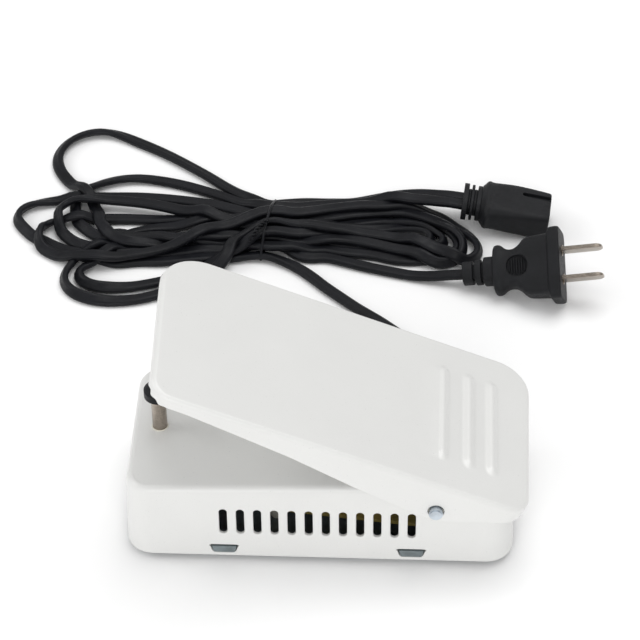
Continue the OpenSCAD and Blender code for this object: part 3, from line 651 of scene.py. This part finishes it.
def cutter(outline, deep, lip, place):
    """A plug that cuts a hole with a rounded outer lip. outline is counter-clockwise in its own plane, and
    place turns (a, b, depth) into a point."""
    n = len(outline)
    normals = []
    for i in range(n):
        ax, ay = outline[i - 1]
        bx, by = outline[(i + 1) % n]
        l = math.hypot(bx - ax, by - ay)
        normals.append(((by - ay) / l, -(bx - ax) / l))
    levels = [(-2.0, lip * 1.02), (-0.02, lip * 1.02)]
    for k in range(5):
        a = math.pi / 2 * k / 4
        levels.append((lip * (1 - math.cos(a)) + 0.001, lip * (1 - math.sin(a))))
    levels.append((deep, 0.0))
    return loft([[place(p[0] + m[0] * o, p[1] + m[1] * o, d) for p, m in zip(outline, normals)]
                 for d, o in levels])


def slot_outline(x, z0, z1, w, n=10):
    r = w / 2
    pts = []
    for k in range(n + 1):
        a = math.pi * k / n
        pts.append((x + r * math.cos(a), z1 - r + r * math.sin(a)))
    for k in range(n + 1):
        a = math.pi + math.pi * k / n
        pts.append((x + r * math.cos(a), z0 + r + r * math.sin(a)))
    return pts


def disc_outline(x, y, r, n=28):
    return [(x + r * math.cos(2 * math.pi * k / n), y + r * math.sin(2 * math.pi * k / n)) for k in range(n)]


def front(a, b, d):
    return (a, -(BASE_W / 2 - DRAFT * (b - FOOT)) + d, b)


def back(a, b, d):
    return (a, (BASE_W / 2 - DRAFT * (b - FOOT)) - d, b)


def window_outline(x):
    z0, z1 = FOOT + 1.5, FOOT + 5.8
    half = [(0.0, z0), (3.0, z0), (3.9, z0 + 0.2), (4.5, z0 + 0.8), (4.85, z0 + 1.7), (5.1, z0 + 2.6),
            (5.4, z0 + 3.2), (5.7, z0 + 3.55), (5.75, z0 + 3.85), (5.4, z0 + 4.1), (4.8, z0 + 4.25),
            (4.0, z1)]
    return [(x + a, b) for a, b in half] + [(x - a, b) for a, b in half[::-1][:-1]]


def cut(ob, cutters, along=0.0):
    """Takes cutters, each moved along X, out of a mesh for good."""
    verts, faces = gather(cutters)
    tool = make_mesh("tool", [(x + along, y, z) for x, y, z in verts], faces, None, 0)
    m = ob.modifiers.new("cut", "BOOLEAN")
    m.object = tool
    m.operation = "DIFFERENCE"
    m.solver = "EXACT"
    bake(ob)
    bpy.data.objects.remove(tool)
    for p in ob.data.polygons:
        p.use_smooth = True
    ob.data.set_sharp_from_angle(angle=math.radians(38))


def build_housing():
    verts, faces = sheet_shell(housing_skin(0.0, 2.6), housing_skin(SHEET, 1.4))
    ob = make_mesh("housing_shell", [(x + MID, y, z) for x, y, z in verts], faces, None, 0)
    tools = []
    first = -VENT_STEP * (VENTS - 1) / 2 - 0.4
    for i in range(VENTS):
        slot = slot_outline(first + i * VENT_STEP, FOOT + 11.7, FOOT + 24.4, VENT_W)
        tools.append(cutter(slot, 2.6, 0.35, front))
    # windows for the bottom plate's tongues, under the first and the last vent
    for x in (first, first + VENT_STEP * (VENTS - 1)):
        tools.append(cutter(window_outline(x), 2.6, 0.25, front))
    tools.append(cutter(disc_outline(*PIN, 2.75), 2.6, 0.3, front))
    tools.append(cutter(disc_outline(*PIN, 2.75)[::-1], 2.6, 0.3, back))
    tools.append(cutter(disc_outline(CORD_AT - MID, CORD_UP, 4.6)[::-1], 2.6, 0.3, back))
    # the small hole that the hinge spring's leg hooks into
    tools.append(cutter(disc_outline(39.5, 24.3, 0.8)[::-1], 2.6, 0.15, back))
    tools.append(cutter(disc_outline(ROD_AT, 0, 3.15), 4.0, 0.2, lambda a, b, d: (a, b, roof_at(a) - d)))
    cut(ob, tools, MID)
    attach(ob, "base")
    dress(ob, "white_paint")
    weld_normals(ob)
    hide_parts("housing")


# treadle plate: u along it from the hinge, v across, w square to it
TOP_W, PED_L, PED_W = 13.0, 154.0, 80.6
U1 = 33.8
U0 = U1 - PED_L
# lower edge of the side flange, as (u, w)
FLANGE = [(U0 - 2, 8.0), (-104, 7.6), (-82, 5.4), (-60.5, 3.1), (-34.6, -1.1), (-18, -3.2),
          (-7, -4.4), (0, -4.8), (4.5, -4.3), (9, -2.4), (16, 0.8), (24.6, 4.3), (30, 5.4), (U1 + 2, 5.8)]
RIBS, RIB_HALF, RIB_RISE = (-3.4, 7.6, 17.2), 25.0, 1.15


def flange_low(u):
    return float(np.interp(u, *zip(*FLANGE)))


def rib_height(u, v):
    h = 0.0
    for c in RIBS:
        d = math.hypot(u - c, max(0.0, abs(v) - (RIB_HALF - 2.2)))
        h = max(h, RIB_RISE * max(0.0, 0.5 + 0.5 * math.cos(math.pi * min(1.0, d / 3.0))))
    return h


def plate_crown(v):
    """The slight fullness of the pressed plate."""
    return -0.25 * (abs(v) / (PED_W / 2)) ** 4


def treadle_skin(inset, fold):
    """One face of the treadle's sheet: side flanges, a folded edge and the ribbed plate."""
    lower = inset
    hx, hy = PED_L / 2, PED_W / 2
    mid = (U0 + U1) / 2
    outline = rounded_rect(hx, hy, (14.0, 19.0, 9.0, 10.0), 18, 2.5)
    # the two long sides are out of line by a little, and the lip is shallow across the free end
    outline = [(x - y / hy * (1.1 * max(0.0, -x / hx) - 0.7 * max(0.0, x / hx)), y, nx, ny)
               for x, y, nx, ny in outline]
    low = [flange_low(mid + x) + 1.8 * max(0.0, -nx) ** 3 for x, y, nx, ny in outline]

    def wave(x, y, nx, ny, t):
        """Puckers that deep pressing leaves in the free end's corners, strongest at the lower edge."""
        cornered = max(0.0, abs(nx) * abs(ny) * 2) if x < 0 else 0.0
        a = math.atan2(ny, nx)
        near = 1.0 if y < 0 else 0.6
        return near * cornered ** 0.5 * t * (0.42 * math.cos(a * 13 + 0.8) + 0.30)

    rings = []
    for k in range(7):
        t = 1 - k / 6
        ring = []
        for (x, y, nx, ny), lo in zip(outline, low):
            top = TOP_W - lower - fold
            w = lo + EDGE + (top - lo - EDGE) * (1 - t)
            o = -inset + wave(x, y, nx, ny, t)
            ring.append((mid + x + nx * o, y + ny * o, w))
        rings.append(ring)
    for k in range(1, 9):
        a = math.pi / 2 * k / 8
        ring = []
        for x, y, nx, ny in outline:
            o = -inset - fold * (1 - math.cos(a))
            u, v = mid + x + nx * o, y + ny * o
            ring.append((u, v, TOP_W - lower - fold * (1 - math.sin(a)) + plate_crown(v) * (k / 8) ** 2))
        rings.append(ring)
    # points are closer together around the ribs
    inner = []
    u = U0 + fold + 5
    while u < U1 - fold - 3:
        dense = -8.5 < u < 22.5
        v = -hy + fold + 4
        while v < hy - fold - 3:
            inner.append((u, v))
            v += 1.3 if dense and abs(v) < 29 and abs(abs(v) - 24) < 5 else (2.6 if dense else 4.5)
        u += 0.55 if dense else 4.5
    loop = [(p[0], p[1]) for p in rings[-1]]
    inner = [p for p in inner if inside(p[0] * 0.995 + mid * 0.005, p[1] * 1.03, loop)
             and inside(p[0] * 1.015 - mid * 0.015, p[1], loop)]
    return covered(rings, inner, lambda u, v: TOP_W - lower + plate_crown(v) + rib_height(u, v))


def from_pedal(p):
    """A point of the treadle, tilted about the hinge as it stands at rest."""
    u, v, w = p
    return (PIN[0] + MID + u * math.cos(TILT) + w * math.sin(TILT), v,
            PIN[1] - u * math.sin(TILT) + w * math.cos(TILT))


def build_treadle():
    verts, faces = sheet_shell(treadle_skin(0.0, 2.0), treadle_skin(SHEET, 0.9))
    ob = make_mesh("treadle_pan", map(from_pedal, verts), faces, None, 0)

    def side(sign):
        def place(a, b, d):
            return (a, sign * (PED_W / 2 - d), b)
        return place

    hole = disc_outline(*PIN, 3.15)
    cut(ob, [cutter(hole, 2.6, 0.25, side(-1)), cutter(hole[::-1], 2.6, 0.25, side(1))], MID)
    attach(ob, "pedal")
    dress(ob, "white_paint")
    weld_normals(ob)
    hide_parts("pedal_plate")


build_housing()
build_treadle()

# ---- connector, plug, tie and strain relief ----
PLUG_AT, PLUG_TURN = (52.3, 129, 6.2), (35, -13, -5)
LINK_AT, LINK_TURN = (51.5, 173.5, 10.6), (0, 5.5, -5)
PLUG_FACE, LINK_FACE = 43.4, 39.0       # each moulding's mating face, along it from where the cord enters
BLADE_Y = 6.35                          # half the spacing of the blades
SOCKETS_Y = (3.5, -6.5)                 # places of the two sockets across the connector


def solid(name, sections, at, turned, levels=1):
    """A moulded piece lofted over sections and smoothed."""
    v, f = loft(sections)
    ob = make_mesh(name, turn(v, at, turned), f, "base", 50)
    m = ob.modifiers.new("smooth", "SUBSURF")
    m.levels = m.render_levels = levels
    dress(ob, "black_plastic")
    return ob


def placed(ob, at, turned):
    """Moves a moulding that was cut in its own frame to its place."""
    ob.data.transform(pose(at, turned))
    weld_normals(ob)
    dress(ob, "black_plastic")


def pose(at, turned):
    """The matrix that puts a moulding's own frame, in metres, in its place."""
    m = Matrix.Translation([c * MM for c in at])
    for axis, a in (("Z", turned[2]), ("Y", turned[1]), ("X", turned[0])):
        m = m @ Matrix.Rotation(math.radians(a), 4, axis)
    return m


def oval(x, w, t, e=0.75, y=0.0, z=0.0, n=36):
    return super_ring(x, y - w / 2, y + w / 2, z - t / 2, z + t / 2, e, n)


def ribbed(stations, e=0.75, soft=0.25):
    """Sections of a stepped moulding from (start, end, width, thickness), with eased edges at every step."""
    out = []
    for x0, x1, w, t in stations:
        out.append(oval(x0, w - 2.6 * soft, t - 2.6 * soft, e))
        out.append(oval(x0 + soft * 0.3, w - 0.8 * soft, t - 0.8 * soft, e))
        out.append(oval(x0 + soft, w, t, e))
        out.append(oval(x1 - soft, w, t, e))
        out.append(oval(x1 - soft * 0.3, w - 0.8 * soft, t - 0.8 * soft, e))
        out.append(oval(x1, w - 2.6 * soft, t - 2.6 * soft, e))
    return out


def build_connector():
    relief = solid("connector_relief", ribbed([(0, 2.3, 18.4, 12.4), (2.3, 3.5, 13.4, 8.6),
                                               (3.5, 4.8, 17.8, 12), (4.8, 6.2, 13.4, 8.8),
                                               (6.2, 8.2, 17.2, 12)]), LINK_AT, LINK_TURN)
    sec = []
    # x, far edge y, near edge y, thickness, roundness
    for x, yf, yn, t, e in ((8.0, 8.4, -8.4, 12.0, 0.8), (8.2, 9.0, -9.0, 12.6, 0.8),
                            (9.4, 10.4, -10.6, 13.4, 0.7), (9.8, 11.2, -11.4, 14.2, 0.7),
                            (10.5, 12.0, -12.2, 14.8, 0.68),
                            (11.5, 12.0, -12.2, 14.8, 0.68), (12.3, 11.2, -11.6, 14.2, 0.62),
                            (13.6, 10.9, -11.4, 13.8, 0.55), (18.0, 10.9, -11.4, 13.6, 0.48),
                            (22.0, 10.7, -11.5, 13.4, 0.40), (27.0, 9.9, -11.6, 13.3, 0.34),
                            (33.0, 8.8, -11.6, 13.3, 0.30), (37.6, 7.9, -11.5, 13.2, 0.28),
                            (38.5, 7.6, -11.4, 13.0, 0.28), (39.0, 7.0, -11.0, 12.2, 0.28)):
        sec.append(super_ring(x, yn, yf, -t / 2, t / 2, e, 48))
    body = solid("connector_housing", sec, (0, 0, 0), (0, 0, 0), 2)
    # the polarising groove in the top and the two contact holes, cut in the local frame
    bake(body)
    groove = [(26.0, 2.6), (26.8, 1.9), (41, 0.2), (41, 3.4), (26.8, 4.3), (26.0, 3.9)]
    tools = [cutter(groove, 1.5, 0.25, lambda a, b, d: (a, b, 6.62 - d))]
    for y in SOCKETS_Y:
        tools.append(cutter(disc_outline(y, 0, 2.2), 12.0, 0.5, lambda a, b, d: (LINK_FACE - d, a, b)))
    cut(body, tools)
    placed(body, LINK_AT, LINK_TURN)
    # contact sockets inside, each a cup that opens at the face
    cups = []
    for y in SOCKETS_Y:
        v, f = loft([[(x, a, b) for a, b in disc_outline(y, 0, r, 24)]
                     for x, r in ((27.0, 2.0), (37.2, 2.0), (37.4, 1.9), (37.4, 1.62), (37.2, 1.55),
                                  (28.2, 1.55), (28.2, 0.01))])
        cups.append((v, f[:-1]))
    v, f = gather(cups)
    tube = make_mesh("connector_sockets", turn(v, LINK_AT, LINK_TURN), f, "base", 40)
    dress(tube, "brass")
    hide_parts("connector_strain_relief")
    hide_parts("connector_body")
    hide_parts("connector_contacts")
    return relief, body, tube


def build_plug():
    relief = solid("plug_relief", ribbed([(0, 4.5, 10.2, 9.0), (4.5, 5.6, 7.4, 6.6), (5.6, 8.3, 11.0, 9.6),
                                          (8.3, 9.4, 8.4, 7.4), (9.4, 13.8, 12.6, 10.6)]),
                   PLUG_AT, PLUG_TURN)
    sec = []
    # x, width, thickness, roundness
    for x, w, t, e in ((13.6, 18.0, 11.4, 0.8), (13.9, 20.6, 12.4, 0.8), (14.6, 22.2, 13.0, 0.75),
                       (16.4, 22.2, 13.0, 0.75), (17.6, 20.8, 12.4, 0.75), (18.6, 18.4, 11.8, 0.7),
                       (20.2, 17.0, 11.4, 0.62), (22.0, 16.8, 11.2, 0.55), (23.6, 17.8, 11.4, 0.5),
                       (25.2, 20.2, 11.8, 0.46), (26.6, 23.2, 12.4, 0.40), (27.8, 25.2, 12.8, 0.36),
                       (29.6, 26.0, 13.2, 0.34), (36.0, 26.8, 13.6, 0.34), (37.4, 27.2, 13.8, 0.34),
                       (37.9, 28.4, 14.4, 0.34), (38.4, 31.0, 16.0, 0.32), (39.0, 32.0, 16.4, 0.3),
                       (42.0, 32.2, 16.4, 0.28), (42.8, 31.9, 16.2, 0.28), (43.25, 31.2, 15.6, 0.28),
                       (43.4, 30.0, 14.4, 0.28)):
        sec.append(oval(x, w, t, e, n=48))
    body = solid("plug_housing", sec, (0, 0, 0), (0, 0, 0), 2)
    bake(body)
    # finger grips: a shallow oval recess with ribs across it, on both faces
    grip_x, grip_l, grip_w = 24.4, 4.6, 4.7
    ring = []
    for k in range(36):
        c, s = math.cos(2 * math.pi * k / 36), math.sin(2 * math.pi * k / 36)
        ring.append((grip_x + grip_l * math.copysign(abs(c) ** 0.8, c), grip_w * s))
    cut(body, [cutter(ring, 1.2, 0.35, lambda a, b, d: (a, b, 5.9 - d)),
               cutter(ring[::-1], 1.2, 0.35, lambda a, b, d: (a, b, d - 5.9))])
    slit = [(-0.9, -3.3), (0.9, -3.3), (0.9, 3.3), (-0.9, 3.3)]
    for s in (1, -1):
        cut(body, [cutter([(s * BLADE_Y + a, b) for a, b in slit], 3.0, 0.35,
                          lambda a, b, d: (PLUG_FACE - d, a, b))])
    ribs = []
    for s in (1, -1):
        for k in range(7):
            x = 21.1 + k * 1.1
            half = 4.1 * math.sqrt(max(0.05, 1 - ((x - grip_x) / grip_l) ** 2))
            rows = []
            for j in range(13):
                y = -half + 2 * half * j / 12
                h = 1.0 * math.sqrt(max(0.0, 1 - (abs(y) / (half + 0.01)) ** 4))
                rows.append([(x + dx, y, s * z)
                             for dx, z in ((-0.34, 4.5), (-0.3, 4.7 + h * 0.7), (-0.12, 4.7 + h),
                                           (0.12, 4.7 + h), (0.3, 4.7 + h * 0.7), (0.34, 4.5))])
            ribs.append(loft(rows))
    v, f = gather(ribs)
    rib = make_mesh("plug_grip_ribs", turn(v, PLUG_AT, PLUG_TURN), f, "base", 45)
    dress(rib, "black_plastic")
    placed(body, PLUG_AT, PLUG_TURN)
    # blades with eased edges and rounded, chamfered tips, each with the bright shoulder at its root
    pins = []
    for s in (1, -1):
        y0 = s * BLADE_Y
        pins.append(loft([super_ring(x, y0 - t, y0 + t, -h, h, 0.16, 20)
                          for x, h, t in ((35.5, 3.15, 0.95), (56.8, 3.15, 0.95), (58.6, 3.1, 0.93),
                                          (59.7, 2.75, 0.80), (60.5, 2.1, 0.58), (60.8, 1.5, 0.36))]))
        pins.append(loft([[(x, y0 + y * 0.92, z - 0.30 * y)
                           for x, y, z in super_ring(43.0 + dx, -h, h, -t, t, 0.3, 20)]
                          for dx, h, t in ((0.0, 2.9, 0.8), (0.55, 2.9, 0.8), (0.75, 2.7, 0.6))]))
    v, f = gather(pins)
    blades = make_mesh("plug_pins", turn(v, PLUG_AT, PLUG_TURN), f, "base", 30)
    dress(blades, "nickel")
    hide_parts("plug_strain_relief")
    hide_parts("plug_body")
    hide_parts("plug_blades")
    return relief, body, rib, blades


def round_wire(name, line, d, n, shut=False):
    """A round wire along a line, which may be shut into a ring."""
    t = np.gradient(line, axis=0)
    if shut:
        t = np.roll(line, -1, 0) - np.roll(line, 1, 0)
    t /= np.linalg.norm(t, axis=1)[:, None]
    ref = np.array([1.0, 0.03, 0.05])
    a = np.cross(t, ref)
    a /= np.linalg.norm(a, axis=1)[:, None]
    b = np.cross(t, a)
    verts, rings = [], []
    for p, u, w in zip(line, a, b):
        rings.append(list(range(len(verts), len(verts) + n)))
        verts += [p + (u * math.cos(2 * math.pi * k / n) + w * math.sin(2 * math.pi * k / n)) * d / 2
                  for k in range(n)]
    if shut:
        faces = bands(rings + [rings[0]])
    else:
        faces = bands(rings) + [tuple(rings[0][::-1]), tuple(rings[-1])]
    ob = make_mesh(name, verts, faces, "base", 60)
    dress(ob, "cord_pvc")
    return ob


def build_tie():
    """A plastic-covered wire drawn round the strands, twisted and bent over at the near side."""
    lean, mid_y, rays = 0.12, 158, 72
    section = [(1, 0), (-1, 0), (0, 1), (0, -1), (0.7, 0.7), (-0.7, 0.7), (0.7, -0.7), (-0.7, -0.7)]
    near = []
    for run in (run_a, run_b):
        for p, wv, nv in zip(run, *lie(run)):
            if abs(p[0] - TIE_X - lean * (p[1] - mid_y)) < 2.2:
                for c, s in section:
                    q = p + wv * (CORD_W / 2 * c) + nv * (CORD_T / 2 * s)
                    near.append((q[1], q[2]))
    near = np.array(near)
    mid = (near.min(0) + near.max(0)) / 2
    reach = []
    for k in range(rays):
        a = 2 * math.pi * k / rays
        reach.append(((near - mid) @ np.array([math.cos(a), math.sin(a)])).max())
    # the outline of the strands' hull, a wire's radius outside it
    pts = []
    for k in range(rays):
        a = 2 * math.pi * k / rays
        best = min(reach[j % rays] / math.cos(2 * math.pi * (j - k) / rays) for j in range(k - 14, k + 15))
        y, z = mid[0] + (best + 0.6) * math.cos(a), mid[1] + (best + 0.6) * math.sin(a)
        pts.append((TIE_X + lean * (y - mid_y), y, max(0.62, z)))
    line = np.array(pts)
    line = np.stack([(np.roll(line, 1, 0) + line * 2 + np.roll(line, -1, 0))[:, k] / 4 for k in range(3)], 1)
    ring = round_wire("tie_ring", line, 1.2, 10, True)
    # twisted ends, lying forward and to the left over the strands
    k0 = int(np.argmin(np.abs(line[:, 1] - (mid[0] - 6)) + 100 * (line[:, 2] < mid[1])))
    start = line[k0] + np.array([0, 0, 0.9])
    pieces = [ring]
    for i_twist, phase in enumerate((0, math.pi)):
        pts = []
        for i in range(60):
            s = i / 59
            c = start + np.array([-6.0 * s, -11.0 * s, 0.8 + 1.2 * math.sin(math.pi * s) - 1.6 * s])
            a = 2 * math.pi * 3.2 * s + phase
            spread = 0.62 if s < 0.85 else 0.62 + 5 * (s - 0.85)
            pts.append(c + np.array([math.cos(a) * 0.9, -0.45 * math.cos(a), math.sin(a)]) * spread)
        pieces.append(round_wire("tie_twist_%d" % i_twist, np.array(pts), 1.1, 8))
    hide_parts("wire_tie")
    return pieces


def build_gland():
    """The rubber strain relief in the rear wall: a flange, then a slender cone with ring grooves."""
    prof = [(-3.6, 3.2), (-3.6, 5.6), (-3.3, 6.0), (-2.0, 6.0), (-1.8, 5.6), (-1.75, 4.35), (-0.25, 4.35),
            (-0.2, 6.0), (0.2, 6.4), (1.3, 6.4), (1.7, 6.0), (2.6, 4.9), (3.4, 4.7)]
    for k in range(7):
        x = 4.2 + k * 2.7
        r = 4.6 - 0.13 * k
        prof += [(x, r), (x + 0.25, r - 0.75), (x + 1.0, r - 0.75), (x + 1.25, r)]
    prof += [(23.2, 3.7), (23.8, 3.5), (24.0, 3.1), (23.4, 2.95)]
    # distance out from the wall, and radius there
    v, f = loft([[(x, BASE_W / 2 + d, z) for x, z in disc_outline(CORD_AT, CORD_UP, r, 32)] for d, r in prof])
    ob = make_mesh("cord_gland", v, f, "base", 35)
    dress(ob, "dark_rubber")
    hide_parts("cord_grommet")
    return ob


connector = build_connector()
plug = build_plug()
tie = build_tie()
gland = build_gland()
# the pedal's cord starts at the gland, the mains cord at the connector
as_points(path_a)
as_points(path_b)


# ---- floor and light ----
def floor_and_light():
    me = bpy.data.meshes.new("floor")
    me.from_pydata([(-3, -3, 0), (3, -3, 0), (3, 3, 0), (-3, 3, 0)], [], [(0, 1, 2, 3)])
    fl = bpy.data.objects.new("floor", me)
    bpy.context.scene.collection.objects.link(fl)
    fl.data.materials.append(surface("floor", (0.985, 0.985, 0.985), 0.9, spread=0.002, patch=4, bump=0.0,
                                     level=0.1))
    world = bpy.data.worlds.new("studio")
    world.use_nodes = True
    world.node_tree.nodes["Background"].inputs["Color"].default_value = (1, 1, 1, 1)
    world.node_tree.nodes["Background"].inputs["Strength"].default_value = 0.50
    bpy.context.scene.world = world

    def area(name, at, size, power):
        li = bpy.data.lights.new(name, "AREA")
        li.shape = "RECTANGLE"
        li.size, li.size_y = size
        li.energy = power
        ob = bpy.data.objects.new(name, li)
        ob.location = at
        ob.rotation_euler = (Vector((0, 0.05, 0)) - Vector(at)).to_track_quat("-Z", "Y").to_euler()
        bpy.context.scene.collection.objects.link(ob)

    area("front", (-0.15, -1.6, 0.75), (1.6, 1.1), 14)
    area("top", (0.3, 0.45, 1.45), (1.2, 1.2), 11.5)
    area("left", (-1.4, 0.2, 0.9), (0.9, 0.9), 5)
    bpy.context.scene.view_settings.view_transform = "Standard"
    bpy.context.scene.view_settings.look = "None"


floor_and_light()
